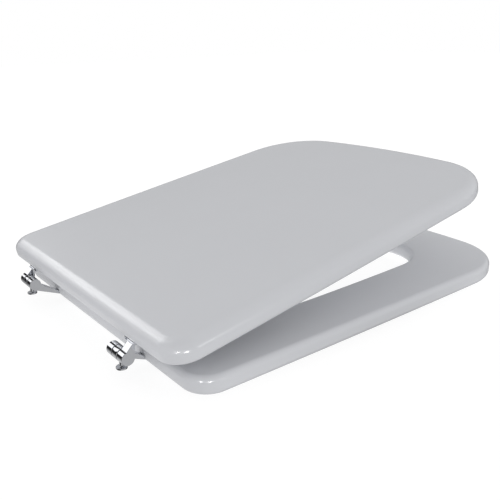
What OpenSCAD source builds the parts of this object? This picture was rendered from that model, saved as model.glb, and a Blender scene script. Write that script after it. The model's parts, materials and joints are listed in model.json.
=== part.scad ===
// Moulded wood toilet seat: a thick rounded lid over an open ring, joined by two barrel hinges.
// The ring stands on its buffers at z = 0, the front of the seat points to -Y and the hinges are
// at the back. The lid is drawn part open. Both turn on one axis, parallel to X.

/* [Lid] */
// Width of the lid at its back corners
lid_back_w = 380; // [360:1:400]
// Width of the lid where the front corners begin
lid_front_w = 366; // [350:1:380]
// Length of the lid from back edge to the crown of the front
lid_len = 460; // [430:1:490]
// Thickness of the lid
lid_t = 19.6; // [17:0.1:24]
// Radius of the two back corners in plan
lid_back_r = 26.5; // [15:0.5:40]
// Radius of the two front corners in plan
lid_front_r = 87.5; // [60:0.5:110]
// How far the front edge bows forward between its corners
lid_front_bow = 4.7; // [2:0.1:12]
// How far each long side bows outward
lid_side_bow = 0.9; // [0.2:0.1:3]
// Radius of the upper edge all round
lid_top_r = 10.4; // [6:0.1:12]
// Radius of the lower edge all round
lid_bottom_r = 4.8; // [2:0.1:5]
// Angle at which the lid is held open
lid_open = 9.9; // [0:0.1:60]

/* [Ring] */
// Width of the ring at its back corners
ring_back_w = 386; // [370:1:400]
// Width of the ring where the front corners begin
ring_front_w = 367; // [350:1:380]
// Length of the ring from back edge to the crown of the front
ring_len = 470; // [440:1:500]
// Thickness of the ring
ring_t = 17.4; // [16:0.1:20]
// Radius of the two back corners in plan
ring_back_r = 26; // [15:0.5:40]
// Radius of the two front corners in plan
ring_front_r = 85.5; // [60:0.5:110]
// How far the front edge bows forward between its corners
ring_front_bow = 5.2; // [2:0.1:12]
// How far each long side bows outward
ring_side_bow = 0.9; // [0.2:0.1:3]
// Radius of the upper edges, outside and round the opening
ring_top_r = 5.9; // [3:0.1:8]
// Radius of the lower edges, outside and round the opening
ring_bottom_r = 5.4; // [2:0.1:7]

/* [Opening] */
// Width of the opening at its back corners
open_back_w = 238; // [210:1:250]
// Width of the opening at its front corners
open_front_w = 223; // [190:1:240]
// Length of the opening
open_len = 292; // [260:1:310]
// Wood between the back edge of the ring and the opening
open_back_rim = 100; // [85:1:120]
// Radius of the back corners of the opening
open_back_r = 75; // [40:1:90]
// Radius of the front corners of the opening
open_front_r = 60; // [40:1:80]
// How far the front edge of the opening bows forward
open_front_bow = 1; // [0.5:0.1:6]
// How far each side of the opening bows outward
open_side_bow = 0.9; // [0.2:0.1:4]

/* [Hinges] */
// Distance between the middles of the two hinges
hinge_spacing = 220; // [190:1:250]
// Diameter of the hinge barrel
barrel_d = 12.5; // [11:0.1:14]
// Width of each of the three knuckles of a barrel
knuckle_w = 9.3; // [8:0.1:12]
// Gap between neighbouring knuckles, filled by the bush flange
knuckle_gap = 0.6; // [0.4:0.1:1.2]
// Bevel on the rims of the knuckles
knuckle_bevel = 0.5; // [0.2:0.1:0.8]
// Distance from the back edge of the ring to the hinge axis
axis_back = 25.2; // [22:0.1:32]
// Height of the hinge axis over the underside of the ring
axis_up = 20; // [18:0.1:26]
// Distance from the hinge axis forward to the back edge of the closed lid
lid_set = 8.8; // [8:0.1:14]
// Height of the closed lid's underside over the hinge axis
lid_lift = 9.25; // [8.5:0.05:14]

/* [Hinge leaves] */
// Thickness of a leaf
leaf_t = 4; // [3:0.1:5]
// Width of a leaf along the hinge axis
leaf_w = 17; // [14:0.5:24]
// Length of a leaf inside the wood
leaf_len = 46; // [36:1:60]
// Radius of the corners of a leaf
leaf_r = 3; // [1:0.5:6]
// Distance the lid arm runs into the lid before it is as thick as its leaf
lid_lead = 2.4; // [1:0.1:4]
// Distance the top of the seat arm runs into the ring before it meets its leaf
seat_lead = 4.2; // [3:0.1:7]
// Angle round the barrel at which the top of the seat arm leaves it
tail_angle = 192; // [170:1:205]
// Distance from the top of the seat arm's root to its underside's, along the leaf
tail_root = 2.9; // [1:0.1:5]
// Clearance round a leaf in its pocket
pocket_gap = 0.2; // [0.1:0.05:0.5]

/* [Pins and bushes] */
// Diameter of the hinge pin
pin_d = 6; // [4.5:0.1:6.5]
// Wall of the bush that turns on the pin
bush_wall = 1.2; // [0.8:0.1:1.6]
// Clearance between pin and bush all round
bush_gap = 0.05; // [0.02:0.01:0.08]
// Solid wall left at the closed end of each outer knuckle
end_wall = 2; // [1.2:0.1:3]
// Clearance at the ends of the pin
pin_end_gap = 0.3; // [0.2:0.1:0.6]
// Interference of a pressed piece all round
press = 0.01; // [0.005:0.005:0.02]

/* [Posts] */
// Diameter of the neck under the middle knuckle
neck_d = 4; // [3:0.1:6]
// Diameter of the disc at the foot of the post
disc_d = 10.4; // [9:0.1:14]
// Thickness of the disc
disc_t = 2; // [1.5:0.1:3]
// Distance from the hinge axis down to the foot of the disc
post_drop = 14.4; // [12.5:0.1:20]
// Radius of the disc's rim
disc_edge = 0.4; // [0.3:0.1:0.7]

/* [Screws] */
// Diameter of the wood screws
screw_d = 4; // [3:0.1:4.5]
// Diameter of the countersunk screw heads
head_d = 8; // [7:0.1:9]
// Height of the countersunk screw heads
head_h = 2.3; // [1.8:0.1:2.6]
// Length of the lid screws
lid_screw_len = 16; // [12:0.5:18]
// Length of the ring screws
ring_screw_len = 13.5; // [11:0.5:15]
// Distance between the two screws of a leaf
screw_pitch = 24; // [16:1:30]
// Clearance round a screw in its hole
screw_gap = 0.1; // [0.05:0.05:0.3]

/* [Buffers] */
// Height of the buffers under the ring
seat_buffer_h = 8; // [6:0.5:12]
// Length of a buffer
buffer_len = 48; // [30:1:60]
// Width of a buffer
buffer_w = 14; // [10:0.5:20]
// Radius of the lower edges of a buffer
buffer_edge = 2.5; // [1:0.1:3.5]
// Diameter of the two pegs on a buffer
peg_d = 5; // [3:0.1:7]
// Length of the pegs
peg_len = 5; // [3:0.1:7]
// Distance between the pegs of a buffer
peg_pitch = 28; // [16:1:34]
// Distance of the side buffers from the middle plane
side_buffer_x = 169; // [155:1:172]
// Distance from the back edge of the ring to the middle of the side buffers
side_buffer_y = 121; // [90:1:200]
// Distance of the front buffers from the middle plane
front_buffer_x = 62; // [45:1:80]
// Distance from the front of the ring to the middle of the front buffers
front_buffer_y = 26; // [20:1:40]
// Clearance over the ring when the lid's buffers come down on it
lid_buffer_gap = 0.3; // [0.1:0.1:1]
// Distance of the lid's side buffers from the middle plane
lid_side_x = 148; // [130:1:155]
// Distance from the back edge of the lid to the middle of its side buffers
lid_side_y = 150; // [120:1:260]
// Distance of the lid's front buffers from the middle plane
lid_front_x = 62; // [45:1:80]
// Distance from the front of the lid to the middle of its front buffers
lid_front_y = 24; // [18:1:40]

/* [Hidden] */

$fn = 64;
past = 1;                  // how far a cut runs past the face it opens
lacquer = [0.75, 0.76, 0.78];
chrome = [0.80, 0.81, 0.83];
steel = [0.62, 0.63, 0.65];
nylon = [0.90, 0.90, 0.88];
rubber = [0.86, 0.86, 0.85];

barrel_r = barrel_d / 2;
bore_r = pin_d / 2 + bush_gap + bush_wall;
bore_depth = knuckle_w - end_wall;
knuckle_step = knuckle_w + knuckle_gap;
flange_t = knuckle_gap - 2 * bush_gap;
flange_r = (bore_r + barrel_r - knuckle_bevel) / 2;

axis_y = (axis_back + ring_len - barrel_r) / 2;    // puts the middle of the whole seat at y = 0
axis_z = seat_buffer_h + axis_up;
lid_buffer_h = axis_up + lid_lift - ring_t - lid_buffer_gap;

// One row per stretch of an outline: points with their outward normals' angles.
corner_steps = 12;
side_steps = 4;
bow_steps = 5;
edge_steps = 5;

// Right half of a rounded outline, back edge at y = 0, from the back corner to the front's crown.
// Each entry is [x, y, angle of the outward normal].
function half_outline(bw, fw, len, br, fr, fbow, sbow) =
  let (
    xc = fw / 2 - fr,
    bow_r = (xc * xc + fbow * fbow) / (2 * fbow),
    phi = asin(xc / (bow_r - fr)),
    fy = -len + bow_r - (bow_r - fr) * cos(phi),
    run = -(fy + br),
    chord = atan2(-(bw - fw) / 2, run),
    swell = atan(4 * sbow / run),
    a0 = chord + swell,
    a1 = chord - swell,
    s = [bw / 2 - br + br * cos(a0), -br + br * sin(a0)],
    f = [xc + fr * cos(a1), fy + fr * sin(a1)]
  )
  concat(
    [for (i = [0 : corner_steps]) let (a = 90 + (a0 - 90) * i / corner_steps)
      [bw / 2 - br + br * cos(a), -br + br * sin(a), a]],
    [for (i = [1 : side_steps - 1]) let (u = i / side_steps, p = s + (f - s) * u)
      [p[0] + 4 * sbow * u * (1 - u), p[1], a0 + (a1 - a0) * u]],
    [for (i = [0 : corner_steps]) let (a = a1 + (-90 + phi - a1) * i / corner_steps)
      [xc + fr * cos(a), fy + fr * sin(a), a]],
    [for (i = [1 : bow_steps]) let (a = -90 + phi * (1 - i / bow_steps))
      [bow_r * cos(a), -len + bow_r + bow_r * sin(a), a]]
  );

// The whole outline, clockwise seen from above.
function outline(half) = concat(
  half,
  [for (i = [len(half) - 2 : -1 : 0]) [-half[i][0], half[i][1], 180 - half[i][2]]]
);

// The outline moved inward by d and lifted to z.
function loop(o, d, z) = [for (p = o) [p[0] - d * cos(p[2]), p[1] - d * sin(p[2]), z]];

// Quarter round of radius r as [inset, height] pairs, from angle a to angle b.
function round_edge(r, z, a, b) =
  [for (i = [0 : edge_steps]) let (t = a + (b - a) * i / edge_steps) [r - r * cos(t), z + r * sin(t)]];

// Section of an edge from its lower flat to its upper flat.
function edge_section(t, top_r, bottom_r) = concat(
  round_edge(bottom_r, bottom_r, -90, 0),
  round_edge(top_r, t - top_r, 0, 90)
);

function flat(lists) = [for (l = lists) each l];

// Sides between k loops of n points each; closed joins the last loop to the first.
function sides(n, k, closed) = [
  for (j = [0 : k - (closed ? 1 : 2)]) for (i = [0 : n - 1])
    let (j2 = (j + 1) % k, i2 = (i + 1) % n)
    [j * n + i, j2 * n + i, j2 * n + i2, j * n + i2]
];

lid_outline = outline(half_outline(lid_back_w, lid_front_w, lid_len, lid_back_r, lid_front_r,
  lid_front_bow, lid_side_bow));
ring_outline = outline(half_outline(ring_back_w, ring_front_w, ring_len, ring_back_r, ring_front_r,
  ring_front_bow, ring_side_bow));
open_outline = outline(half_outline(open_back_w, open_front_w, open_len, open_back_r, open_front_r,
  open_front_bow, open_side_bow));

// Solid slab with its back edge at y = 0 and its underside at z = 0.
module slab(o, t, top_r, bottom_r) {
  section = edge_section(t, top_r, bottom_r);
  n = len(o);
  k = len(section);
  polyhedron(
    points = flat([for (s = section) loop(o, s[0], s[1])]),
    faces = concat([[for (i = [n - 1 : -1 : 0]) i]], sides(n, k, false),
      [[for (i = [0 : n - 1]) (k - 1) * n + i]])
  );
}

// Slab with an opening, as one closed band of loops.
module ring_slab(o, hole, hole_y, t, top_r, bottom_r) {
  section = edge_section(t, top_r, bottom_r);
  m = len(section);
  moved = [for (p = hole) [p[0], p[1] - hole_y, p[2]]];
  loops = concat(
    [for (s = section) loop(o, s[0], s[1])],
    [for (j = [m - 1 : -1 : 0]) loop(moved, -section[j][0], section[j][1])]
  );
  polyhedron(points = flat(loops), faces = sides(len(o), len(loops), true));
}

// Places. Pieces are drawn for the right-hand hinge and mirrored for the left.
module on_axis() { translate([0, axis_y, axis_z]) children(); }
module lid_place() { on_axis() rotate([-lid_open, 0, 0]) children(); }
module hand(s) {
  if (s < 0) mirror([1, 0, 0]) children();
  else children();
}

// Draws a side view, y across and z up, and gives it width w along X from x0.
module along_x(x0, w) { translate([x0, 0, 0]) rotate([90, 0, 90]) linear_extrude(w) children(); }

module rounded_rect(x0, x1, y0, y1, r) {
  translate([x0 + r, y0]) square([x1 - x0 - 2 * r, y1 - y0]);
  translate([x0, y0 + r]) square([x1 - x0, y1 - y0 - 2 * r]);
  for (x = [x0 + r, x1 - r], y = [y0 + r, y1 - r]) translate([x, y]) circle(r);
}

// Point where the line from p touches the barrel, on the side given by s.
function touch(p, s) = let (a = atan2(p[1], p[0]) + s * acos(barrel_r / norm(p)))
  barrel_r * [cos(a), sin(a)];

hinge_x = hinge_spacing / 2;
outer_x = hinge_x + 1.5 * knuckle_w + knuckle_gap;      // closed end of the lid arm's knuckle
inner_x = hinge_x - 1.5 * knuckle_w - knuckle_gap;      // closed end of the seat arm's knuckle
lid_leaf_x = [outer_x - leaf_w, outer_x];
seat_leaf_x = [inner_x, inner_x + leaf_w];
lid_leaf_y = -lid_set;
seat_tail = [-axis_back - seat_lead, leaf_t - axis_up];
seat_heel = [seat_tail[0] - tail_root, -axis_up];
seat_leaf_y = seat_heel[0];
seat_root_y = seat_leaf_y - leaf_r - 1;                 // where the arm's root ends inside its leaf
tail_top = barrel_r * [cos(tail_angle), sin(tail_angle)];
tail_slope = (tail_top[1] - seat_tail[1]) / (tail_top[0] - seat_tail[0]);
tail_in = tail_top + past * (tail_top - seat_tail) / norm(tail_top - seat_tail);

// Bevelled cylinder of width w along X from x0.
module knuckle(x0, w) {
  translate([x0, 0, 0]) rotate([0, 90, 0]) rotate_extrude()
    polygon([[0, 0], [barrel_r - knuckle_bevel, 0], [barrel_r, knuckle_bevel],
      [barrel_r, w - knuckle_bevel], [barrel_r - knuckle_bevel, w], [0, w]]);
}
module bar_x(x0, w, r) { translate([x0, 0, 0]) rotate([0, 90, 0]) cylinder(h = w, r = r); }

// Plan positions of a leaf's two screws, from the leaf's back end.
function screw_ys(y0) = let (m = y0 - leaf_len / 2) [m - screw_pitch / 2, m + screw_pitch / 2];
module at_screws(xs, y0, z) {
  for (y = screw_ys(y0)) translate([(xs[0] + xs[1]) / 2, y, z]) children();
}
module screw_hole(d, depth) {
  translate([0, 0, -past]) cylinder(h = depth + past, d = d + 2 * screw_gap);
}
module countersink() {
  cylinder(h = head_h, d1 = head_d + 2 * screw_gap, d2 = screw_d + 2 * screw_gap);
  translate([0, 0, -past]) cylinder(h = 2 * past, d = head_d + 2 * screw_gap);
}
module screw(length) {
  point = screw_d / 2;
  cylinder(h = head_h, d1 = head_d, d2 = screw_d);
  cylinder(h = length - point, d = screw_d);
  translate([0, 0, length - point]) cylinder(h = point, d1 = screw_d, d2 = screw_d / 4);
}

module leaf(xs, y0, z0) {
  translate([0, 0, z0]) linear_extrude(leaf_t)
    rounded_rect(xs[0], xs[1], y0 - leaf_len, y0, leaf_r);
}
module leaf_holes(xs, y0, z0) {
  at_screws(xs, y0, z0) screw_hole(screw_d, leaf_t + past);
  at_screws(xs, y0, z0) countersink();
}
// Room for a leaf in the wood: its floor meets the leaf's face.
module pocket(xs, y0, z0, mouth) {
  translate([0, 0, z0 - past]) linear_extrude(leaf_t + past)
    rounded_rect(xs[0] - pocket_gap, xs[1] + pocket_gap, y0 - leaf_len - pocket_gap,
      y0 + mouth, leaf_r);
}

// Buffer: a bar with a rounded foot and two pegs, its seat at z = 0 and its foot at -h.
module foot_section(w, h) {
  translate([-w / 2, -h + buffer_edge]) square([w, h - buffer_edge]);
  translate([-w / 2 + buffer_edge, -h]) square([w - 2 * buffer_edge, h]);
  for (x = [-1, 1]) translate([x * (w / 2 - buffer_edge), -h + buffer_edge]) circle(buffer_edge);
}
module buffer(h) {
  intersection() {
    translate([0, 0, -h]) linear_extrude(h)
      rounded_rect(-buffer_w / 2, buffer_w / 2, -buffer_len / 2, buffer_len / 2, buffer_w * 0.45);
    along_x(-buffer_w, 2 * buffer_w) foot_section(buffer_len, h);
    rotate([0, 0, 90]) along_x(-buffer_len, 2 * buffer_len) foot_section(buffer_w, h);
  }
  for (y = [-1, 1]) translate([0, y * peg_pitch / 2, -past]) cylinder(h = peg_len + past, d = peg_d);
}
module peg_holes() {
  for (y = [-1, 1]) translate([0, y * peg_pitch / 2, -past])
    cylinder(h = peg_len + past + pin_end_gap, d = peg_d + 2 * screw_gap);
}
module seat_side_place() { translate([side_buffer_x, -axis_back - side_buffer_y, -axis_up]) children(); }
module seat_front_place() {
  translate([front_buffer_x, -axis_back - ring_len + front_buffer_y, -axis_up])
    rotate([0, 0, 90]) children();
}
module lid_side_place() { translate([lid_side_x, -lid_set - lid_side_y, lid_lift]) children(); }
module lid_front_place() {
  translate([lid_front_x, -lid_set - lid_len + lid_front_y, lid_lift]) rotate([0, 0, 90]) children();
}

module lid() {
  color(lacquer) lid_place() difference() {
    translate([0, -lid_set, lid_lift]) slab(lid_outline, lid_t, lid_top_r, lid_bottom_r);
    for (s = [-1, 1]) hand(s) {
      pocket(lid_leaf_x, lid_leaf_y, lid_lift, past + leaf_r);
      at_screws(lid_leaf_x, lid_leaf_y, lid_lift) screw_hole(screw_d, lid_screw_len + screw_gap);
      lid_side_place() peg_holes();
      lid_front_place() peg_holes();
    }
  }
}

module seat_ring() {
  color(lacquer) on_axis() difference() {
    translate([0, -axis_back, -axis_up])
      ring_slab(ring_outline, open_outline, open_back_rim, ring_t, ring_top_r, ring_bottom_r);
    for (s = [-1, 1]) hand(s) {
      pocket(seat_leaf_x, seat_leaf_y, -axis_up, pocket_gap);
      // notch in the back edge for the arm, under a line just above the arm's top
      along_x(inner_x - pocket_gap, knuckle_w + 2 * pocket_gap)
        polygon([[past - axis_back, -axis_up - past],
          [past - axis_back, seat_tail[1] + tail_slope * (past + seat_lead) + pocket_gap],
          seat_tail + [0, pocket_gap], [seat_root_y - pocket_gap, seat_tail[1]],
          [seat_root_y - pocket_gap, -axis_up - past]]);
      at_screws(seat_leaf_x, seat_leaf_y, -axis_up) screw_hole(screw_d, ring_screw_len + screw_gap);
      seat_side_place() peg_holes();
      seat_front_place() peg_holes();
    }
  }
}

// Lid arm: the outer knuckle, a web that rises into the lid and a leaf let into its underside.
module lid_arm(s) {
  top = [-lid_set - lid_lead, lid_lift + leaf_t];
  low = [-lid_set, lid_lift];
  flare = outer_x - (lid_leaf_x[0] + outer_x - knuckle_w) / 2;
  color(chrome) lid_place() hand(s) difference() {
    union() {
      knuckle(outer_x - knuckle_w, knuckle_w);
      intersection() {
        along_x(outer_x - flare, flare)
          polygon([touch(top, -1), top, [top[0], low[1]], low, touch(low, 1), [0, 0]]);
        translate([0, 0, -barrel_r]) linear_extrude(lid_lift + leaf_t + 2 * barrel_r)
          polygon([[outer_x, barrel_r], [outer_x - knuckle_w, barrel_r],
            [outer_x - knuckle_w, -barrel_r - bush_gap], [outer_x - flare, -lid_set],
            [outer_x - flare, top[0]], [outer_x, top[0]]]);
      }
      leaf(lid_leaf_x, lid_leaf_y, lid_lift);
    }
    bar_x(outer_x - knuckle_w - past, bore_depth + past, bore_r);
    leaf_holes(lid_leaf_x, lid_leaf_y, lid_lift);
  }
}

// Seat arm: the inner knuckle, a tail that falls to the ring's underside and a leaf let into it.
module seat_arm(s) {
  color(chrome) on_axis() hand(s) difference() {
    union() {
      knuckle(inner_x, knuckle_w);
      along_x(inner_x, knuckle_w)
        polygon([tail_in, seat_tail, [seat_root_y, seat_tail[1]], [seat_root_y, -axis_up], seat_heel,
          touch(seat_heel, 1), [0, 0]]);
      leaf(seat_leaf_x, seat_leaf_y, -axis_up);
    }
    bar_x(inner_x + end_wall, bore_depth + past, bore_r);
    leaf_holes(seat_leaf_x, seat_leaf_y, -axis_up);
  }
}

// Post: the middle knuckle on a short neck, with the disc that locks in the pan's fixing.
module hinge_post(s) {
  disc_r = disc_d / 2;
  color(chrome) on_axis() hand(s) difference() {
    union() {
      knuckle(hinge_x - knuckle_w / 2, knuckle_w);
      translate([hinge_x, 0, -post_drop]) {
        cylinder(h = post_drop - barrel_r / 2, d = neck_d);
        rotate_extrude() {
          square([disc_r - disc_edge, disc_t]);
          translate([0, disc_edge]) square([disc_r, disc_t - 2 * disc_edge]);
          for (z = [disc_edge, disc_t - disc_edge]) translate([disc_r - disc_edge, z]) circle(disc_edge);
        }
      }
    }
    bar_x(hinge_x - knuckle_w / 2 - past, knuckle_w + 2 * past, pin_d / 2 - press);
  }
}

module hinge_pin(s) {
  half = knuckle_w / 2 + knuckle_gap + bore_depth - pin_end_gap;
  color(steel) on_axis() hand(s) bar_x(hinge_x - half, 2 * half, pin_d / 2);
}

// Flanged bush along +X, the flange's seat at x = 0 and the sleeve running into the knuckle.
module bush() {
  difference() {
    union() {
      bar_x(0, bore_depth - pin_end_gap, bore_r + press);
      bar_x(-flange_t, flange_t, flange_r);
    }
    bar_x(-flange_t - past, bore_depth + flange_t + 2 * past, pin_d / 2 + bush_gap);
  }
}
module lid_bush(s) {
  color(nylon) lid_place() hand(s) translate([outer_x - knuckle_w, 0, 0]) bush();
}
module seat_bush(s) {
  color(nylon) on_axis() hand(s) translate([inner_x + knuckle_w, 0, 0]) mirror([1, 0, 0]) bush();
}

module lid_screws(s) {
  color(steel) lid_place() hand(s) at_screws(lid_leaf_x, lid_leaf_y, lid_lift) screw(lid_screw_len);
}
module seat_screws(s) {
  color(steel) on_axis() hand(s) at_screws(seat_leaf_x, seat_leaf_y, -axis_up) screw(ring_screw_len);
}

module seat_buffer_front(s) { color(rubber) on_axis() hand(s) seat_front_place() buffer(seat_buffer_h); }
module seat_buffer_side(s) { color(rubber) on_axis() hand(s) seat_side_place() buffer(seat_buffer_h); }
module lid_buffer_front(s) { color(rubber) lid_place() hand(s) lid_front_place() buffer(lid_buffer_h); }
module lid_buffer_side(s) { color(rubber) lid_place() hand(s) lid_side_place() buffer(lid_buffer_h); }

lid();
seat_ring();
lid_arm(-1);  // lid_arm_left
lid_arm(1);  // lid_arm_right
seat_arm(-1);  // seat_arm_left
seat_arm(1);  // seat_arm_right
hinge_post(-1);  // hinge_post_left
hinge_post(1);  // hinge_post_right
hinge_pin(-1);  // hinge_pin_left
hinge_pin(1);  // hinge_pin_right
lid_bush(-1);  // lid_bush_left
lid_bush(1);  // lid_bush_right
seat_bush(-1);  // seat_bush_left
seat_bush(1);  // seat_bush_right
lid_screws(-1);  // lid_screws_left
lid_screws(1);  // lid_screws_right
seat_screws(-1);  // seat_screws_left
seat_screws(1);  // seat_screws_right
seat_buffer_front(-1);  // seat_buffer_front_left
seat_buffer_front(1);  // seat_buffer_front_right
seat_buffer_side(-1);  // seat_buffer_side_left
seat_buffer_side(1);  // seat_buffer_side_right
lid_buffer_front(-1);  // lid_buffer_front_left
lid_buffer_front(1);  // lid_buffer_front_right
lid_buffer_side(-1);  // lid_buffer_side_left
lid_buffer_side(1);  // lid_buffer_side_right
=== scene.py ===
# Squared toilet seat in grey lacquer, lid part open on chrome barrel hinges.
import json
import math
import bpy
import bmesh
from mathutils import Matrix, Vector


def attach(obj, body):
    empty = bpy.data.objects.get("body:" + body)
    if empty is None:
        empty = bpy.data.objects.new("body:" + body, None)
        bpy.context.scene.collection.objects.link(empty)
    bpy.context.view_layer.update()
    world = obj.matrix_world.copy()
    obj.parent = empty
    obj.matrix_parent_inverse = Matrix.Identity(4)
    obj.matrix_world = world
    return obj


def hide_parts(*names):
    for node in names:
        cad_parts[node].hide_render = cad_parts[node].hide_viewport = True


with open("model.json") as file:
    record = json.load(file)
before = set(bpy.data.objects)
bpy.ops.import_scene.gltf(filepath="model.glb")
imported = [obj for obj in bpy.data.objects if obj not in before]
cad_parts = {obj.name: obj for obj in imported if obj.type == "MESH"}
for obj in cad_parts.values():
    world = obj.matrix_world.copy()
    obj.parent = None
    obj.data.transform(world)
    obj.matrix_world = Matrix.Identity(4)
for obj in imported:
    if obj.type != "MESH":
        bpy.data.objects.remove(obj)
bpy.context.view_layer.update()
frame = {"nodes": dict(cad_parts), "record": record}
nodes = frame["nodes"]
mm = 0.001
print("frame loaded:", len(nodes), "nodes")

# Camera fitted to the outlines in the photo: its axes in the frame, in metres, and a lens on 36 mm
camera = {"place": (-0.576413, 0.453045, 0.287385),
          "right": (-0.605291, -0.795738, -0.020599),
          "up": (0.243462, -0.209707, 0.946969),
          "back": (-0.757858, 0.568176, 0.320665),
          "lens": 46.638}


def setCamera():
    data = bpy.data.cameras.new("camera")
    data.sensor_width = 36
    data.lens = camera["lens"]
    data.clip_start = 0.01
    obj = bpy.data.objects.new("camera", data)
    turn = Matrix((camera["right"], camera["up"], camera["back"])).transposed().to_4x4()
    obj.matrix_world = Matrix.Translation(camera["place"]) @ turn
    bpy.context.scene.collection.objects.link(obj)
    bpy.context.scene.camera = obj


setCamera()


# Materials: every one reads Object coordinates
def newMaterial(name):
    mat = bpy.data.materials.new(name)
    mat.use_nodes = True
    tree = mat.node_tree
    return mat, tree, tree.nodes["Principled BSDF"], tree.nodes.new("ShaderNodeTexCoord")


def noiseOf(tree, coords, scale, detail=3.0, rough=0.5, stretch=None):
    noise = tree.nodes.new("ShaderNodeTexNoise")
    noise.inputs["Scale"].default_value = scale
    noise.inputs["Detail"].default_value = detail
    noise.inputs["Roughness"].default_value = rough
    source = coords.outputs["Object"]
    if stretch:
        mapping = tree.nodes.new("ShaderNodeMapping")
        mapping.inputs["Scale"].default_value = stretch
        tree.links.new(source, mapping.inputs["Vector"])
        source = mapping.outputs["Vector"]
    tree.links.new(source, noise.inputs["Vector"])
    return noise.outputs["Fac"]


def mapped(tree, value, fromLow, fromHigh, low, high, how="LINEAR"):
    node = tree.nodes.new("ShaderNodeMapRange")
    node.interpolation_type = how
    for label, number in (("From Min", fromLow), ("From Max", fromHigh), ("To Min", low), ("To Max", high)):
        node.inputs[label].default_value = number
    tree.links.new(value, node.inputs["Value"])
    return node.outputs["Result"]


def spread(tree, value, low, high):
    # most of a noise lies between 0.3 and 0.7
    return mapped(tree, value, 0.3, 0.7, low, high)


def tint(tree, value, dark, light):
    mix = tree.nodes.new("ShaderNodeMix")
    mix.data_type = "RGBA"
    mix.inputs["A"].default_value = (*dark, 1)
    mix.inputs["B"].default_value = (*light, 1)
    tree.links.new(value, mix.inputs["Factor"])
    return mix.outputs["Result"]


def bumpFrom(tree, shader, value, depth, strength):
    bump = tree.nodes.new("ShaderNodeBump")
    bump.inputs["Distance"].default_value = depth
    bump.inputs["Strength"].default_value = strength
    tree.links.new(value, bump.inputs["Height"])
    tree.links.new(bump.outputs["Normal"], shader.inputs["Normal"])


def linear(values):
    # a colour as a picture holds it, as light
    return tuple(v / 12.92 if v <= 0.04045 else ((v + 0.055) / 1.055) ** 2.4 for v in values)


lacquer = {"dark": (0.789, 0.794, 0.809), "light": (0.801, 0.806, 0.821),
           "rough": (0.22, 0.26), "shine": 0.3}


def lacquerMaterial():
    # sprayed gloss lacquer: even grey, a faint cloudiness and the slight ripple of a sprayed coat
    mat, tree, shader, coords = newMaterial("greyLacquer")
    cloud = noiseOf(tree, coords, 9, 4, 0.55)
    colour = tint(tree, cloud, linear(lacquer["dark"]), linear(lacquer["light"]))
    tree.links.new(colour, shader.inputs["Base Color"])
    tree.links.new(spread(tree, noiseOf(tree, coords, 22, 3), *lacquer["rough"]), shader.inputs["Roughness"])
    shader.inputs["Specular IOR Level"].default_value = lacquer["shine"]
    bumpFrom(tree, shader, noiseOf(tree, coords, 240, 2, 0.4), 0.00006, 0.25)
    return mat


def chromeMaterial():
    mat, tree, shader, coords = newMaterial("hingeChrome")
    film = noiseOf(tree, coords, 160, 4, 0.6)
    tree.links.new(tint(tree, film, (0.67, 0.68, 0.71), (0.74, 0.75, 0.78)), shader.inputs["Base Color"])
    shader.inputs["Metallic"].default_value = 1.0
    tree.links.new(spread(tree, noiseOf(tree, coords, 420, 3), 0.035, 0.085), shader.inputs["Roughness"])
    bumpFrom(tree, shader, noiseOf(tree, coords, 300, 2), 0.00002, 0.2)
    return mat


def steelMaterial():
    mat, tree, shader, coords = newMaterial("screwSteel")
    grain = noiseOf(tree, coords, 900, 3, 0.6, (1, 1, 0.15))
    tree.links.new(tint(tree, grain, (0.42, 0.42, 0.43), (0.62, 0.62, 0.64)), shader.inputs["Base Color"])
    shader.inputs["Metallic"].default_value = 1.0
    tree.links.new(spread(tree, grain, 0.22, 0.38), shader.inputs["Roughness"])
    return mat


def nylonMaterial():
    mat, tree, shader, coords = newMaterial("bushNylon")
    tree.links.new(tint(tree, noiseOf(tree, coords, 500, 3), (0.66, 0.66, 0.63), (0.78, 0.78, 0.75)),
                   shader.inputs["Base Color"])
    shader.inputs["Roughness"].default_value = 0.45
    shader.inputs["Subsurface Weight"].default_value = 0.15
    shader.inputs["Subsurface Radius"].default_value = (0.001, 0.001, 0.0008)
    return mat


def bufferMaterial():
    mat, tree, shader, coords = newMaterial("bufferRubber")
    tree.links.new(tint(tree, noiseOf(tree, coords, 60, 4), (0.60, 0.60, 0.59), (0.70, 0.70, 0.69)),
                   shader.inputs["Base Color"])
    tree.links.new(spread(tree, noiseOf(tree, coords, 700, 3), 0.5, 0.65), shader.inputs["Roughness"])
    bumpFrom(tree, shader, noiseOf(tree, coords, 1500, 2), 0.00004, 0.35)
    return mat


finishes = {"lacquer": lacquerMaterial(), "chrome": chromeMaterial(), "steel": steelMaterial(),
            "nylon": nylonMaterial(), "rubber": bufferMaterial()}
slotOf = {s["node"]: s["material_slot"] for s in frame["record"]["subparts"]}
for name, node in nodes.items():
    node.data.materials.clear()
    node.data.materials.append(finishes[slotOf[name]])
print("materials made")

# Pieces are drawn in millimetres on the hinge axis, for the right-hand hinge, then placed
hinge = {"axisY": 244.475, "axisZ": 28.0, "lidOpen": 9.9, "middleX": 110.0,
         "barrelR": 6.25, "knuckleW": 9.3, "gap": 0.6, "rim": 0.75}
outerX = hinge["middleX"] + 1.5 * hinge["knuckleW"] + hinge["gap"]
innerX = hinge["middleX"] - 1.5 * hinge["knuckleW"] - hinge["gap"]


def onAxis(hand=1):
    return (Matrix.Scale(mm, 4) @ Matrix.Translation((0, hinge["axisY"], hinge["axisZ"]))
            @ Matrix.Diagonal((hand, 1, 1, 1)))


def onLid(hand=1):
    return (Matrix.Scale(mm, 4) @ Matrix.Translation((0, hinge["axisY"], hinge["axisZ"]))
            @ Matrix.Rotation(math.radians(-hinge["lidOpen"]), 4, "X") @ Matrix.Diagonal((hand, 1, 1, 1)))


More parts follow.
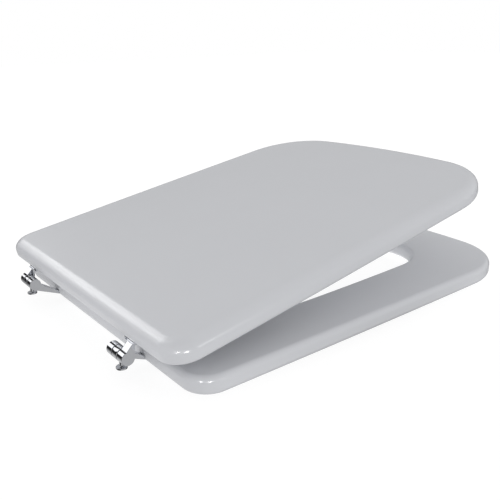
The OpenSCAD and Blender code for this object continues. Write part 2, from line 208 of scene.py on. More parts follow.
def toObject(name, mesh):
    obj = bpy.data.objects.new(name, mesh)
    bpy.context.scene.collection.objects.link(obj)
    return obj


def frozen(obj, name):
    # what the modifiers make of obj, as a plain mesh
    bpy.context.view_layer.update()
    mesh = bpy.data.meshes.new_from_object(obj.evaluated_get(bpy.context.evaluated_depsgraph_get()))
    mesh.name = name
    bpy.data.objects.remove(obj)
    return mesh


def smoothed(mesh, angle=30):
    mesh.shade_smooth()
    mesh.set_sharp_from_angle(angle=math.radians(angle))
    return mesh


def placed(name, mesh, body, slot, *stands):
    mesh.materials.clear()
    mesh.materials.append(finishes[slot])
    obj = toObject(name, mesh)
    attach(obj, body)
    if stands:
        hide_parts(*stands)
    print("made", name, len(mesh.polygons), "faces")


def meshFrom(bm, name):
    mesh = bpy.data.meshes.new(name)
    bm.to_mesh(mesh)
    bm.free()
    return mesh


def joined(name, meshes):
    bm = bmesh.new()
    for mesh in meshes:
        bm.from_mesh(mesh)
    return meshFrom(bm, name)


def moved(mesh, place):
    mesh.transform(place)
    if place.determinant() < 0:
        mesh.flip_normals()
    return mesh


class Wiring:
    # adds nodes to a tree and joins them: an input is given by name, or by place as i0, i1
    def __init__(self, name, sockets):
        self.tree = bpy.data.node_groups.new(name, "GeometryNodeTree")
        face = self.tree.interface
        face.new_socket("Geometry", in_out="INPUT", socket_type="NodeSocketGeometry")
        for label, kind, value in sockets:
            socket = face.new_socket(label, in_out="INPUT", socket_type="NodeSocket" + kind)
            if value is not None:
                socket.default_value = value
        face.new_socket("Geometry", in_out="OUTPUT", socket_type="NodeSocketGeometry")
        self.given = self.tree.nodes.new("NodeGroupInput").outputs
        self.result = self.tree.nodes.new("NodeGroupOutput").inputs[0]

    def add(self, kind, fixed=None, out=0, **inputs):
        node = self.tree.nodes.new(kind)
        for key, value in (fixed or {}).items():
            setattr(node, key, value)
        for key, value in inputs.items():
            byPlace = key[0] == "i" and key[1:].isdigit()
            socket = node.inputs[int(key[1:]) if byPlace else key.replace("_", " ")]
            for one in value if isinstance(value, list) else [value]:
                if isinstance(one, bpy.types.NodeSocket):
                    self.tree.links.new(one, socket)
                else:
                    socket.default_value = one
        return node.outputs[out]

    def math(self, how, a, b):
        return self.add("ShaderNodeMath", {"operation": how}, i0=a, i1=b)

    def vector(self, x=0.0, y=0.0, z=0.0):
        return self.add("ShaderNodeCombineXYZ", X=x, Y=y, Z=z)

    def finish(self, geometry):
        whole = self.add("GeometryNodeRealizeInstances", Geometry=geometry)
        painted = self.add("GeometryNodeSetMaterial", Geometry=whole, Material=self.given["Finish"])
        self.tree.links.new(painted, self.result)
        return self.tree


def shaped(obj, tree, name, **values):
    # runs a tree on obj with the named inputs and returns the plain mesh
    modifier = obj.modifiers.new(tree.name, "NODES")
    modifier.node_group = tree
    ids = {item.name: item.identifier for item in tree.interface.items_tree if item.in_out == "INPUT"}
    for label, value in values.items():
        modifier[ids[label.replace("_", " ")]] = value
    return frozen(obj, name)


def roundedBoardTree():
    # a slab that follows closed outlines: a rounded edge swept along each, then flat faces between them
    w = Wiring("roundedBoard", [("Thickness", "Float", 20.0), ("Top radius", "Float", 5.0),
                                ("Top reach", "Float", 5.0), ("Bottom radius", "Float", 5.0),
                                ("Edge steps", "Int", 12), ("Lip", "Float", 0.3),
                                ("Finish", "Material", None)])
    g = w.given
    outlines = w.add("GeometryNodeSetCurveNormal", {"mode": "Z_UP"}, Curve=g["Geometry"])
    topIn = w.math("MULTIPLY", g["Top reach"], -1.0)
    bottomIn = w.math("MULTIPLY", g["Bottom radius"], -1.0)
    topLip = w.math("SUBTRACT", topIn, g["Lip"])
    bottomLip = w.math("SUBTRACT", bottomIn, g["Lip"])
    topStart = w.math("SUBTRACT", g["Thickness"], g["Top radius"])

    def line(a, b):
        return w.add("GeometryNodeCurvePrimitiveLine", Start=w.vector(*a), End=w.vector(*b))

    def quarter(reach, radius, start, x, y):
        arc = w.add("GeometryNodeCurveArc", Resolution=g["Edge steps"], Radius=1.0,
                    Start_Angle=math.radians(start), Sweep_Angle=math.radians(90))
        return w.add("GeometryNodeTransform", Geometry=arc, Translation=w.vector(x, y),
                     Scale=w.vector(reach, radius, 1.0))

    section = w.add("GeometryNodeJoinGeometry", Geometry=[
        line((bottomLip, 0.0), (bottomIn, 0.0)),
        quarter(g["Bottom radius"], g["Bottom radius"], -90, bottomIn, g["Bottom radius"]),
        line((0.0, g["Bottom radius"]), (0.0, topStart)),
        quarter(g["Top reach"], g["Top radius"], 0, topIn, topStart),
        line((topIn, g["Thickness"]), (topLip, g["Thickness"]))])
    # the sweep hangs its section below the path, so it is turned over first
    section = w.add("GeometryNodeTransform", Geometry=section, Scale=(1.0, -1.0, 1.0))
    band = w.add("GeometryNodeCurveToMesh", Curve=outlines, Profile_Curve=section)
    band = w.add("GeometryNodeFlipFaces", Mesh=band)
    normal = w.add("GeometryNodeInputNormal")

    def face(inset, height):
        aside = w.add("ShaderNodeVectorMath", {"operation": "SCALE"}, i0=normal, Scale=inset)
        shifted = w.add("GeometryNodeSetPosition", Geometry=outlines, Offset=aside)
        filled = w.add("GeometryNodeFillCurve", {"mode": "NGONS"}, Curve=shifted)
        return w.add("GeometryNodeTransform", Geometry=filled, Translation=w.vector(0.0, 0.0, height))

    below = w.add("GeometryNodeFlipFaces", Mesh=face(bottomLip, 0.0))
    whole = w.add("GeometryNodeJoinGeometry", Geometry=[band, face(topLip, g["Thickness"]), below])
    return w.finish(w.add("GeometryNodeMergeByDistance", Geometry=whole, Distance=0.002))


def arcPoints(cx, cy, r, a, b, steps):
    return [(cx + r * math.cos(math.radians(a + (b - a) * i / steps)),
             cy + r * math.sin(math.radians(a + (b - a) * i / steps))) for i in range(steps + 1)]


outlineSteps = {"back": 40, "backCorner": 36, "side": 80, "frontCorner": 60, "front": 40}


def squaredOutline(o, y0=0.0):
    # rounded outline with bowed sides and front, back edge at y0, anticlockwise from above
    frontX, backX = o["frontWidth"] / 2 - o["frontR"], o["backWidth"] / 2 - o["backR"]
    bowR = (frontX ** 2 + o["frontBow"] ** 2) / (2 * o["frontBow"])
    bowY = bowR - o["length"]
    phi = math.degrees(math.asin(frontX / (bowR - o["frontR"])))
    frontY = bowY - (bowR - o["frontR"]) * math.cos(math.radians(phi))
    run = -(frontY + o["backR"])
    chord = math.degrees(math.atan2((o["frontWidth"] - o["backWidth"]) / 2, run))
    swell = math.degrees(math.atan(4 * o["sideBow"] / run))
    steps = outlineSteps
    # one half, clockwise from the middle of the back
    back = [(backX * i / steps["back"], 0.0) for i in range(steps["back"])]
    backCorner = arcPoints(backX, -o["backR"], o["backR"], 90, chord + swell, steps["backCorner"])
    frontCorner = arcPoints(frontX, frontY, o["frontR"], chord - swell, phi - 90, steps["frontCorner"])
    (ax, ay), (bx, by) = backCorner[-1], frontCorner[0]
    side = [(ax + (bx - ax) * u + 4 * o["sideBow"] * u * (1 - u), ay + (by - ay) * u)
            for u in (i / steps["side"] for i in range(1, steps["side"]))]
    front = arcPoints(0, bowY, bowR, phi - 90, -90, steps["front"])[1:]
    half = back + backCorner + side + frontCorner + front
    whole = half + [(-x, y) for x, y in reversed(half[1:-1])]
    return [(x, y + y0) for x, y in reversed(whole)]


def roundedRect(x0, x1, y0, y1, r):
    corners = ((x1 - r, y1 - r, 0), (x0 + r, y1 - r, 90), (x0 + r, y0 + r, 180), (x1 - r, y0 + r, 270))
    return [p for x, y, start in corners for p in arcPoints(x, y, r, start, start + 90, 12)]


def outlineCurve(*loops):
    curve = bpy.data.curves.new("outline", "CURVE")
    curve.dimensions = "3D"
    for loop in loops:
        spline = curve.splines.new("POLY")
        spline.points.add(len(loop) - 1)
        for point, (x, y) in zip(spline.points, loop):
            point.co = (x, y, 0, 1)
        spline.use_cyclic_u = True
    obj = bpy.data.objects.new("outline", curve)
    bpy.context.scene.collection.objects.link(obj)
    return obj


def walled(rows):
    # solid between two rows of corners that match
    bm = bmesh.new()
    low, high = [[bm.verts.new(p) for p in row] for row in rows]
    bm.faces.new(low)
    bm.faces.new(high)
    for i in range(len(low)):
        bm.faces.new((low[i - 1], low[i], high[i], high[i - 1]))
    bmesh.ops.recalc_face_normals(bm, faces=bm.faces)
    return meshFrom(bm, "solid")


def upright(loop, low, high):
    return walled([[(x, y, z) for x, y in loop] for z in (low, high)])


def across(loop, xs, flare=lambda y: 0.0):
    # loop is a side view, (y, z); flare(y) is how much further the second side goes there
    return walled([[(xs[0], y, z) for y, z in loop], [(xs[1] + flare(y), y, z) for y, z in loop]])


def cutBy(mesh, cutters, name):
    obj = toObject(name, mesh)
    tools = []
    for cutter in cutters:
        tool = toObject("cutter", cutter)
        tools.append(tool)
        boolean = obj.modifiers.new("cut", "BOOLEAN")
        boolean.operation = "DIFFERENCE"
        boolean.solver = "EXACT"
        boolean.object = tool
    cut = frozen(obj, name)
    for tool in tools:
        bpy.data.objects.remove(tool)
    return cut


boardTree = roundedBoardTree()


def slab(name, loops, finish, thickness, top, reach, bottom, steps, lip=0.3):
    # top and bottom are the radii of the edges, reach how far in the top one goes
    return shaped(outlineCurve(*loops), boardTree, name, Thickness=thickness, Top_radius=top, Top_reach=reach,
                  Bottom_radius=bottom, Edge_steps=steps, Lip=lip, Finish=finishes[finish])


# set, back: the board's back edge in front of the axis; lift: its underside above the axis;
# lead: how far the arm runs past that edge
lidStand = {"set": 8.8, "lift": 9.25, "lead": 2.4}
ringStand = {"back": 25.2, "lift": -20.0, "lead": 4.2, "tailRoot": 2.9, "tailAngle": 192.0}
leaf = {"thickness": 4.0, "width": 17.0, "length": 46.0, "cornerR": 3.0, "gap": 0.2, "mouth": 4.0,
        "screwPitch": 24.0, "headD": 8.0, "shankD": 4.0, "headH": 2.3, "sinkGap": 0.1,
        "inset": 0.03, "edge": 0.3, "root": 4.0}
# how far a cutter goes past the face it opens
past = 1.0
seatTail = Vector((-ringStand["back"] - ringStand["lead"], ringStand["lift"] + leaf["thickness"]))
seatHeel = Vector((seatTail.x - ringStand["tailRoot"], ringStand["lift"]))
lidLeafX = (outerX - leaf["width"], outerX)
seatLeafX = (innerX, innerX + leaf["width"])

lidBoard = {"backWidth": 380.0, "frontWidth": 366.0, "length": 460.0, "backR": 26.5, "frontR": 87.5,
            "frontBow": 4.7, "sideBow": 0.9}
lidEdge = {"thickness": 19.6, "top": 10.4, "reach": 13.5, "bottom": 4.8, "steps": 20}
ringBoard = {"backWidth": 386.0, "frontWidth": 367.0, "length": 470.0, "backR": 26.0, "frontR": 85.5,
             "frontBow": 5.2, "sideBow": 0.9}
ringEdge = {"thickness": 17.4, "top": 5.9, "reach": 5.9, "bottom": 5.4, "steps": 16}
ringOpening = {"backWidth": 238.0, "frontWidth": 223.0, "length": 292.0, "backR": 75.0, "frontR": 60.0,
               "frontBow": 1.0, "sideBow": 0.9}
backRim = 100.0


def pocket(xs, yBack, z, mouth, hand):
    gap = leaf["gap"]
    loop = roundedRect(xs[0] - gap, xs[1] + gap, yBack - leaf["length"] - gap, yBack + mouth, leaf["cornerR"])
    return moved(upright(loop, z - past, z + leaf["thickness"]), Matrix.Diagonal((hand, 1, 1, 1)))


def makeLid():
    board = slab("lidBoard", [squaredOutline(lidBoard)], "lacquer", **lidEdge)
    board.transform(Matrix.Translation((0, -lidStand["set"], lidStand["lift"])))
    pockets = [pocket(lidLeafX, -lidStand["set"], lidStand["lift"], leaf["mouth"], hand) for hand in (1, -1)]
    board = cutBy(board, pockets, "lidBoard")
    board.transform(onLid())
    placed("lidPanel", smoothed(board), "lid", "lacquer", "lid")


def makeRing():
    gap, back, lift = leaf["gap"], -ringStand["back"], ringStand["lift"]
    hole = squaredOutline(ringOpening, -backRim)[::-1]
    board = slab("ringBoard", [squaredOutline(ringBoard), hole], "lacquer", **ringEdge)
    board.transform(Matrix.Translation((0, back, lift)))
    # the notch follows the arm's tail, which leaves the barrel at tailAngle
    angle = math.radians(ringStand["tailAngle"])
    top = hinge["barrelR"] * Vector((math.cos(angle), math.sin(angle)))
    slope = (top.y - seatTail.y) / (top.x - seatTail.x)
    root = seatHeel.x - leaf["root"] - gap
    notch = [(back + past, lift - past), (back + past, seatTail.y + slope * (past + ringStand["lead"]) + gap),
             (seatTail.x, seatTail.y + gap), (root, seatTail.y), (root, lift - past)]
    cutters = []
    for hand in (1, -1):
        cutters.append(pocket(seatLeafX, seatHeel.x, lift, gap, hand))
        cutters.append(moved(across(notch, (innerX - gap, innerX + hinge["knuckleW"] + gap)),
                             Matrix.Diagonal((hand, 1, 1, 1))))
    board = cutBy(board, cutters, "ringBoard")
    board.transform(onAxis())
    placed("ringPanel", smoothed(board), "seat", "lacquer", "seat_ring")


makeLid()
makeRing()


def lathe(profile, steps=128, along="X"):
    # revolves (distance along the axis, radius) pairs
    bm = bmesh.new()
    rings = []
    for a, r in profile:
        ring = []
        for i in range(steps if r else 1):
            t = 2 * math.pi * i / steps
            c, s = r * math.cos(t), r * math.sin(t)
            ring.append(bm.verts.new((a, c, s) if along == "X" else (c, s, a)))
        rings.append(ring if r else ring * steps)
    for one, two in zip(rings, rings[1:]):
        for i in range(steps):
            # a corner on the axis is there twice, and counts once
            bm.faces.new(list(dict.fromkeys((one[i - 1], one[i], two[i], two[i - 1]))))
    bmesh.ops.recalc_face_normals(bm, faces=bm.faces)
    return meshFrom(bm, "lathe")


def roundRims(x0, x1, r, rim):
    # side of a disc or knuckle with rounded rims, as a lathe profile
    arc = arcPoints(x0 + rim, r - rim, rim, 180, 90, 6)
    return [(x0, 0)] + arc + [(x0 + x1 - x, y) for x, y in reversed(arc)] + [(x1, 0)]


def barrelTouch(p):
    # angle of the spot where a line from p touches the barrel, anticlockwise from p
    return math.degrees(math.atan2(p[1], p[0]) + math.acos(hinge["barrelR"] / math.hypot(*p)))


# crest and top: where the upper side of the lid's arm levels out, (y, z), and its height in the wood;
# proud, nose: the rounded end of the lid's leaf; hair: keeps faces from lying in one another
arms = {"crest": (-6.8, 11.25), "top": 11.15, "edge": 0.45, "edgeAngle": 28, "flatArea": 5.0,
        "proud": 0.5, "noseR": 1.3, "noseEdge": 0.15, "plateShort": 0.4, "hair": 0.02}


def edged(mesh, width, name):
    # small rounded edges on a plated casting, with flat faces kept flat
    obj = toObject(name, mesh)
    bevel = obj.modifiers.new("edges", "BEVEL")
    bevel.width = width * mm
    bevel.segments = 3
    bevel.limit_method = "ANGLE"
    bevel.angle_limit = math.radians(arms["edgeAngle"])
    made = frozen(obj, name)
    made.shade_smooth()
    # larger faces lead their neighbours' normals, the largest stay flat
    leads = [Vector() for vert in made.vertices]
    for face in made.polygons:
        for v in face.vertices:
            leads[v] += face.normal * face.area
    normals = []
    for face in made.polygons:
        flat = face.area > arms["flatArea"] * mm * mm
        normals += [face.normal if flat else leads[v].normalized() for v in face.vertices]
    made.normals_split_custom_set(normals)
    return made


def leafMesh(xs, yBack, z, place, short=0.0):
    # the plate let into the wood, with countersinks for its two screws; short is cut off its back end
    inset, edge, thickness = leaf["inset"], leaf["edge"], leaf["thickness"]
    loop = roundedRect(xs[0] + inset, xs[1] - inset, yBack - leaf["length"], yBack - short, leaf["cornerR"])
    plate = slab("leafPlate", [loop], "chrome", thickness - arms["hair"], edge, edge, edge, 3, 0.1)
    plate.transform(Matrix.Translation((0, 0, z)))
    head, shank = leaf["headD"] / 2 + leaf["sinkGap"], leaf["shankD"] / 2 + leaf["sinkGap"]
    sinks = []
    for y in screwSpots(yBack):
        sink = lathe([(-past, 0), (-past, head), (0, head), (leaf["headH"], shank),
                      (thickness + past, shank), (thickness + past, 0)], 48, "Z")
        sink.transform(Matrix.Translation((sum(xs) / 2, y, z)))
        sinks.append(sink)
    return smoothed(moved(cutBy(plate, sinks, "leafPlate"), place))


def screwSpots(yBack):
    middle = yBack - leaf["length"] / 2
    return (middle - leaf["screwPitch"] / 2, middle + leaf["screwPitch"] / 2)


def makeLidArm(hand, side):
    # barrel end and web up to the lid, wider towards the wood
    r, hair, wood = hinge["barrelR"], arms["hair"], -lidStand["set"]
    crest, top = arms["crest"], (wood - lidStand["lead"], arms["top"])
    low = (wood - hair, lidStand["lift"] + hair / 2)
    arc = arcPoints(0, 0, r, barrelTouch(low), 90 + 360, 110)
    flareStart = -r - 0.05

    def between(p, q, y):
        return (y, p[1] + (q[1] - p[1]) * (y - p[0]) / (q[0] - p[0]))

    loop = arc + [between(arc[-1], crest, flareStart), crest, between(crest, top, wood), top,
                  (top[0], low[1]), low, between(low, arc[0], flareStart)]
    inner = outerX - hinge["knuckleW"]
    wide = (lidLeafX[0] - inner) / 2

    def flare(y):
        return wide * min(max((flareStart - y) / (flareStart - wood), 0.0), 1.0)

    place = onLid(hand)
    web = edged(moved(across(loop, (outerX, inner), flare), place), arms["edge"], "lidArm")
    # end of the leaf: a little proud of the wood, its upper edge rounded
    end, roof = wood + arms["proud"], lidStand["lift"] + leaf["thickness"] - 2 * hair
    root, noseR = end - leaf["root"], arms["noseR"]
    loop = (arcPoints(end - noseR, roof - noseR, noseR, 0, 90, 10)
            + [(root, roof), (root, low[1]), (end, low[1])])
    xs = (lidLeafX[1] - leaf["inset"], lidLeafX[0] + leaf["inset"])
    nose = edged(moved(across(loop, xs), place), arms["noseEdge"], "leafEnd")
    plate = leafMesh(lidLeafX, wood, lidStand["lift"], place, arms["plateShort"])
    placed("lidArm." + side, joined("lidArm", [web, nose, plate]), "lid", "chrome", "lid_arm_" + side)


def makeSeatArm(hand, side):
    # barrel end and long tail down to the underside of the ring
    low, hair, root = ringStand["lift"], arms["hair"], seatHeel.x - leaf["root"]
    arc = arcPoints(0, 0, hinge["barrelR"], barrelTouch(seatHeel), ringStand["tailAngle"], 110)
    loop = arc + [tuple(seatTail), (root, seatTail.y - leaf["inset"]),
                  (root, low + hair), (seatHeel.x, low + hair)]
    place = onAxis(hand)
    web = moved(across(loop, (innerX, innerX + hinge["knuckleW"])), place)
    tail = edged(web, arms["edge"], "seatArm")
    plate = leafMesh(seatLeafX, seatHeel.x, low, place)
    placed("seatArm." + side, joined("seatArm", [tail, plate]), "seat", "chrome", "seat_arm_" + side)


# root: where the neck widens into the barrel, as (below the barrel, wider than the neck)
post = {"neckD": 4.0, "discD": 10.4, "discT": 2.0, "drop": 14.4, "edge": 0.5, "fillet": 0.6,
        "root": ((0.9, 0.0), (0.3, 0.25), (-0.6, 1.2)), "rootEnd": -3.0}


def makePost(hand, side):
    half, barrelR = hinge["knuckleW"] / 2, hinge["barrelR"]
    knuckle = lathe(roundRims(-half, half, barrelR, hinge["rim"]))
    foot, neck, r = -post["drop"], post["neckD"] / 2, post["fillet"]
    top = foot + post["discT"]
    disc = roundRims(foot, top, post["discD"] / 2, post["edge"])[:-1]
    fillet = arcPoints(top + r, neck + r, r, 180, 270, 5)
    root = [(-barrelR - down, neck + more) for down, more in post["root"]]
    root += [(post["rootEnd"], root[-1][1]), (post["rootEnd"], 0)]
    spigot = lathe(disc + fillet + root, 96, "Z")
    both = joined("hingePost", [knuckle, spigot])
    both.transform(Matrix.Translation((hinge["middleX"], 0, 0)))
    both = smoothed(moved(both, onAxis(hand)), 40)
    placed("hingePost." + side, both, "hinge_posts", "chrome", "hinge_post_" + side)


for hand, side in ((1, "right"), (-1, "left")):
    makeLidArm(hand, side)
    makeSeatArm(hand, side)
    makePost(hand, side)


# Screws and buffers: one of each, repeated on points
def repeatTree():
    w = Wiring("repeatOnPoints", [("Piece", "Object", None), ("Finish", "Material", None)])
    turn = w.add("GeometryNodeInputNamedAttribute", {"data_type": "FLOAT"}, Name="turn")
    piece = w.add("GeometryNodeObjectInfo", out=4, Object=w.given["Piece"])
    spin = w.add("FunctionNodeEulerToRotation", i0=w.vector(0.0, 0.0, turn))
    points = w.add("GeometryNodeMeshToPoints", Mesh=w.given["Geometry"])
    return w.finish(w.add("GeometryNodeInstanceOnPoints", Points=points, Instance=piece, Rotation=spin))


def pointCloud(spots):
    # (x, y, z, turn in degrees)
    mesh = bpy.data.meshes.new("spots")
    mesh.from_pydata([s[:3] for s in spots], [], [])
    turn = mesh.attributes.new("turn", "FLOAT", "POINT")
    turn.data.foreach_set("value", [math.radians(s[3]) for s in spots])
    return toObject("spots", mesh)


repeated = repeatTree()


def repeatPiece(name, mesh, spots, place, body, slot, *stands):
    piece = toObject("one", mesh)
    made = shaped(pointCloud(spots), repeated, name, Piece=piece, Finish=finishes[slot])
    bpy.data.objects.remove(piece)
    made.transform(place)
    placed(name, smoothed(made, 35), body, slot, *stands)


screw = {"lidLength": 16.0, "ringLength": 13.5, "flush": 0.05, "headGap": 0.05, "rim": (0.12, 0.2),
         "slotLength": 4.4, "slotWidth": 0.9, "slotDepth": 1.3, "slotTaper": 0.55}


def screwMesh(length):
    # plain shank with a countersunk head and a tapered cross in it
    r, s = leaf["headD"] / 2 - screw["headGap"], leaf["shankD"] / 2
    top, rim = screw["flush"], screw["rim"]
    body = lathe([(top, 0), (top, r - rim[1]), (top + rim[0], r), (leaf["headH"], s), (length - s, s),
                  (length, s / 4), (length, 0)], 48, "Z")
    h, w, depth = screw["slotLength"] / 2, screw["slotWidth"] / 2, screw["slotDepth"]
    foot = h * screw["slotTaper"]
    cuts = []
    for turn in (0, 90):
        slot = across([(-h, -past), (h, -past), (foot, depth), (-foot, depth)], (-w, w))
        cuts.append(moved(slot, Matrix.Rotation(math.radians(turn), 4, "Z")))
    return cutBy(body, cuts, "screw")


def makeScrews():
    for body, xs, yBack, z, length, place in (
            ("lid", lidLeafX, -lidStand["set"], lidStand["lift"], screw["lidLength"], onLid()),
            ("seat", seatLeafX, seatHeel.x, ringStand["lift"], screw["ringLength"], onAxis())):
        spots = [(hand * sum(xs) / 2, y, z, turn) for hand in (1, -1)
                 for y, turn in zip(screwSpots(yBack), (17 * hand, 52 + 20 * hand))]
        repeatPiece(body + "Screws", screwMesh(length), spots, place, body, "steel",
                    body + "_screws_left", body + "_screws_right")


# side and front: the right one's place from the axis
buffers = {"length": 48.0, "width": 14.0, "cornerR": 6.3, "edge": 2.5, "rootEdge": 0.25,
           "seat": {"height": 8.0, "side": (169.0, -146.2), "front": (62.0, -469.2)},
           "lid": {"height": 11.55, "side": (148.0, -158.8), "front": (62.0, -444.8)}}


def makeBuffers():
    long, wide, root = buffers["length"] / 2, buffers["width"] / 2, buffers["rootEdge"]
    loop = roundedRect(-wide, wide, -long, long, buffers["cornerR"])
    for body, z, place in (("seat", ringStand["lift"], onAxis()), ("lid", lidStand["lift"], onLid())):
        own = buffers[body]
        bar = slab("buffer", [loop], "rubber", own["height"], root, root, buffers["edge"], 8, 0.2)
        bar.transform(Matrix.Translation((0, 0, -own["height"])))
        spots = [(hand * own[where][0], own[where][1], z, turn)
                 for where, turn in (("side", 0), ("front", 90)) for hand in (1, -1)]
        stands = [f"{body}_buffer_{where}_{side}"
                  for where in ("side", "front") for side in ("left", "right")]
        repeatPiece(body + "Buffers", bar, spots, place, body, "rubber", *stands)


makeScrews()
makeBuffers()
print("hinges, screws and buffers made")


# Floor, sky and lamps
def mathNode(tree, how, first, *others):
    # a function of first alone, or first taken together with each of the others in turn
    for other in others or (None,):
        node = tree.nodes.new("ShaderNodeMath")
        node.operation = how
        for socket, value in zip(node.inputs, (first, other)):
            if isinstance(value, bpy.types.NodeSocket):
                tree.links.new(value, socket)
            elif value is not None:
                socket.default_value = value
        first = node.outputs[0]
    return first


def rayIs(tree, *kinds):
    # 1 on rays of any of the kinds, 0 on the others
    path = tree.nodes.new("ShaderNodeLightPath")
    return mathNode(tree, "MAXIMUM", *[path.outputs[kind] for kind in kinds])


def shareOf(tree, x, y, axis, sign):
    # how far a direction or place lies to one side: 1 straight that way, 0 square to it or behind;
    # the small square makes the middle even
    squares = [mathNode(tree, "MULTIPLY", v, v) for v in (x, y)] + [0.05 ** 2]
    flat = mathNode(tree, "SQRT", mathNode(tree, "ADD", *squares))
    toward = mathNode(tree, "MULTIPLY", mathNode(tree, "DIVIDE", axis, flat), sign)
    share = mathNode(tree, "MAXIMUM", toward, 0.0)
    return mathNode(tree, "MULTIPLY", share, share)


# front, back and left: its glow on those sides; seen: its glow to the camera
floorLook = {"size": 12.0, "drop": 0.0002, "albedo": 0.16,
             "seen": 0.89, "front": 1.4, "back": 1.05, "left": 0.45}


def makeFloor():
    # pale table that glows a little by itself, so it stays white and keeps a faint shadow
    mat, tree, shader, coords = newMaterial("paleFloor")
    a = floorLook["albedo"]
    shader.inputs["Base Color"].default_value = (a, a, a, 1)
    shader.inputs["Roughness"].default_value = 1.0
    shader.inputs["Specular IOR Level"].default_value = 0.0
    shader.inputs["Emission Color"].default_value = (1, 1, 1, 1)
    parts = tree.nodes.new("ShaderNodeSeparateXYZ")
    tree.links.new(coords.outputs["Object"], parts.inputs[0])
    x, y = parts.outputs["X"], parts.outputs["Y"]
    level = 0.0
    for side, axis, sign in (("front", y, -1), ("back", y, 1), ("left", x, -1)):
        part = mathNode(tree, "MULTIPLY", shareOf(tree, x, y, axis, sign), floorLook[side])
        level = mathNode(tree, "ADD", level, part)
    glow = tree.nodes.new("ShaderNodeMix")
    tree.links.new(level, glow.inputs["A"])
    glow.inputs["B"].default_value = floorLook["seen"]
    tree.links.new(rayIs(tree, "Is Camera Ray", "Is Transmission Ray"), glow.inputs["Factor"])
    tree.links.new(glow.outputs["Result"], shader.inputs["Emission Strength"])
    h, z = floorLook["size"] / 2, -floorLook["drop"]
    mesh = bpy.data.meshes.new("floor")
    mesh.from_pydata([(-h, -h, z), (h, -h, z), (h, h, z), (-h, h, z)], [], [(0, 1, 2, 3)])
    mesh.materials.append(mat)
    obj = toObject("floor", mesh)
    obj.visible_glossy = False


# Angles in degrees from +X towards +Y, and up; levels as a mirror sees them. The ground in front fades
# at groundSide, the one behind starts at behindSide, and a panel is (left, right, low, high, level)
mirrorRoom = {"radius": 9.0, "wall": 0.02, "edge": 1.0, "groundFrom": -8.5,
              "ground": 0.62, "groundTo": -30.0, "groundSide": (50, 62), "groundPast": 0.1,
              "behind": 0.47, "behindTo": -15.0, "behindSide": (122, 136),
              "panels": ((12.5, 37, 12, 60, 1.42), (-130, -4.5, 6, 95, 0.4), (55, 130, -8, 38, 0.45))}


def makeMirrorRoom():
    # a dark room that only mirrors see: grey ground, a white panel and two grey ones draw the chrome's bands
    m = mirrorRoom
    bm = bmesh.new()
    bmesh.ops.create_icosphere(bm, subdivisions=3, radius=m["radius"])
    bmesh.ops.reverse_faces(bm, faces=bm.faces)
    mesh = meshFrom(bm, "mirrorRoom")
    mat, tree, shader, coords = newMaterial("mirrorRoom")
    tree.nodes.remove(shader)
    way = tree.nodes.new("ShaderNodeVectorMath")
    way.operation = "NORMALIZE"
    tree.links.new(coords.outputs["Object"], way.inputs[0])
    parts = tree.nodes.new("ShaderNodeSeparateXYZ")
    tree.links.new(way.outputs[0], parts.inputs[0])
    turn = mathNode(tree, "ARCTAN2", parts.outputs["Y"], parts.outputs["X"])
    rise = mathNode(tree, "ARCSINE", parts.outputs["Z"])
    aside = mathNode(tree, "ABSOLUTE", turn)

    def ramp(value, start, end, low, high, how="SMOOTHSTEP"):
        return mapped(tree, value, math.radians(start), math.radians(end), low, high, how)

    def window(value, start, end):
        edge = m["edge"]
        return [ramp(value, start - edge, start + edge, 0, 1), ramp(value, end - edge, end + edge, 1, 0)]

    ground = ramp(rise, m["groundFrom"], m["groundTo"], m["wall"], m["ground"], "LINEAR")
    behind = ramp(rise, m["groundFrom"], m["behindTo"], m["wall"], m["behind"], "LINEAR")
    levels = [mathNode(tree, "MULTIPLY", ground, ramp(aside, *m["groundSide"], 1, m["groundPast"])),
              mathNode(tree, "MULTIPLY", behind, ramp(aside, *m["behindSide"], 0, 1))]
    for left, right, low, high, shade in m["panels"]:
        levels.append(mathNode(tree, "MULTIPLY", *window(turn, left, right), *window(rise, low, high), shade))
    glow = tree.nodes.new("ShaderNodeEmission")
    tree.links.new(mathNode(tree, "ADD", *levels), glow.inputs["Strength"])
    tree.links.new(glow.outputs[0], tree.nodes["Material Output"].inputs["Surface"])
    mesh.materials.append(mat)
    obj = toObject("mirrorRoom", mesh)
    obj.visible_camera = obj.visible_diffuse = obj.visible_shadow = obj.visible_transmission = False


# low: level at the horizon, gone at height lowTo; left, right: level at half height; seen: to the camera
sky = {"base": 0.67, "low": 4.2, "lowTo": 0.25, "left": 0.8, "right": 0.5, "seen": 1.0}


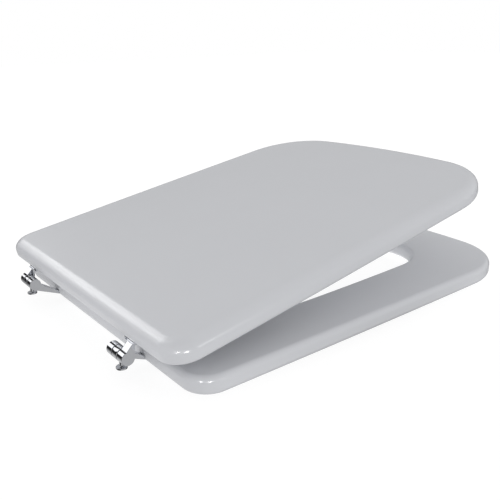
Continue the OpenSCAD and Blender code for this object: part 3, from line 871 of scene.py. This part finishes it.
def makeSky():
    # even light, brighter at half height to the left and right, and low down to the right and in front;
    # camera and mirrors see plain white
    world = bpy.data.worlds.new("studio")
    bpy.context.scene.world = world
    world.use_nodes = True
    tree = world.node_tree
    coords = tree.nodes.new("ShaderNodeTexCoord")
    parts = tree.nodes.new("ShaderNodeSeparateXYZ")
    tree.links.new(coords.outputs["Generated"], parts.inputs[0])
    x, y = parts.outputs["X"], parts.outputs["Y"]
    up = mathNode(tree, "MAXIMUM", parts.outputs["Z"], 0.0)
    fade = mathNode(tree, "SUBTRACT", 1.0, mathNode(tree, "DIVIDE", up, sky["lowTo"]))
    low = mathNode(tree, "MAXIMUM", fade, 0.0)
    half = mathNode(tree, "MULTIPLY", up, mathNode(tree, "SUBTRACT", 1.0, up), 4.0)
    sides = [mathNode(tree, "MULTIPLY", height, shareOf(tree, x, y, axis, sign), level)
             for height, level, axis, sign in ((low, sky["low"], x, 1), (low, sky["low"], y, -1),
                                               (half, sky["left"], x, -1), (half, sky["right"], x, 1))]
    lights = tree.nodes["Background"]
    lights.inputs["Color"].default_value = (1, 1, 1, 1)
    tree.links.new(mathNode(tree, "ADD", sky["base"], *sides), lights.inputs["Strength"])
    white = tree.nodes.new("ShaderNodeBackground")
    white.inputs["Color"].default_value = (1, 1, 1, 1)
    white.inputs["Strength"].default_value = sky["seen"]
    mix = tree.nodes.new("ShaderNodeMixShader")
    tree.links.new(rayIs(tree, "Is Camera Ray", "Is Glossy Ray", "Is Transmission Ray"), mix.inputs["Fac"])
    tree.links.new(lights.outputs[0], mix.inputs[1])
    tree.links.new(white.outputs[0], mix.inputs[2])
    tree.links.new(mix.outputs[0], tree.nodes["World Output"].inputs["Surface"])


# azimuth from +X towards +Y; the key lights the whole seat, a spot a narrow pool around its aim
lamps = {
    "keyBox": {"azimuth": 11, "elevation": 33, "size": (3.0, 2.1), "power": 92, "aim": (0.0, 0.0, 0.0)},
    "leftSpot": {"azimuth": 123, "elevation": 12, "radius": 0.05, "cone": 1.6, "power": 690,
                 "aim": (-0.182, 0.215, 0.045)},
    "middleSpot": {"azimuth": 153, "elevation": 8, "radius": 0.05, "cone": 1.6, "power": 1250,
                   "aim": (-0.182, 0.215, 0.045)},
    "rightSpot": {"azimuth": -162, "elevation": 17, "radius": 0.08, "cone": 4.0, "power": 140,
                  "aim": (-0.19, 0.1, 0.05)}}
lampDistance, spotBlend = 6.0, 0.6


def makeLamp(name, lamp, lit):
    # a soft box, or a small spot where a cone is given; it shines on the gloss of the pieces in lit only
    data = bpy.data.lights.new(name, "SPOT" if "cone" in lamp else "AREA")
    data.energy = lamp["power"]
    if "cone" in lamp:
        data.shadow_soft_size = lamp["radius"]
        data.spot_size = math.radians(lamp["cone"])
        data.spot_blend = spotBlend
    else:
        data.shape = "RECTANGLE"
        data.size, data.size_y = lamp["size"]
    obj = bpy.data.objects.new(name, data)
    a, e = math.radians(lamp["azimuth"]), math.radians(lamp["elevation"])
    obj.location = lampDistance * Vector((math.cos(a) * math.cos(e), math.sin(a) * math.cos(e), math.sin(e)))
    obj.rotation_euler = (obj.location - Vector(lamp["aim"])).to_track_quat("Z", "Y").to_euler()
    obj.visible_diffuse = obj.visible_camera = False
    obj.light_linking.receiver_collection = lit
    bpy.context.scene.collection.objects.link(obj)


lacquered = bpy.data.collections.new("lacquered")
for board in ("lidPanel", "ringPanel"):
    lacquered.objects.link(bpy.data.objects[board])
makeFloor()
makeMirrorRoom()
makeSky()
for name, lamp in lamps.items():
    makeLamp(name, lamp, lacquered)
bpy.context.scene.view_settings.view_transform = "Standard"
print("stage set")
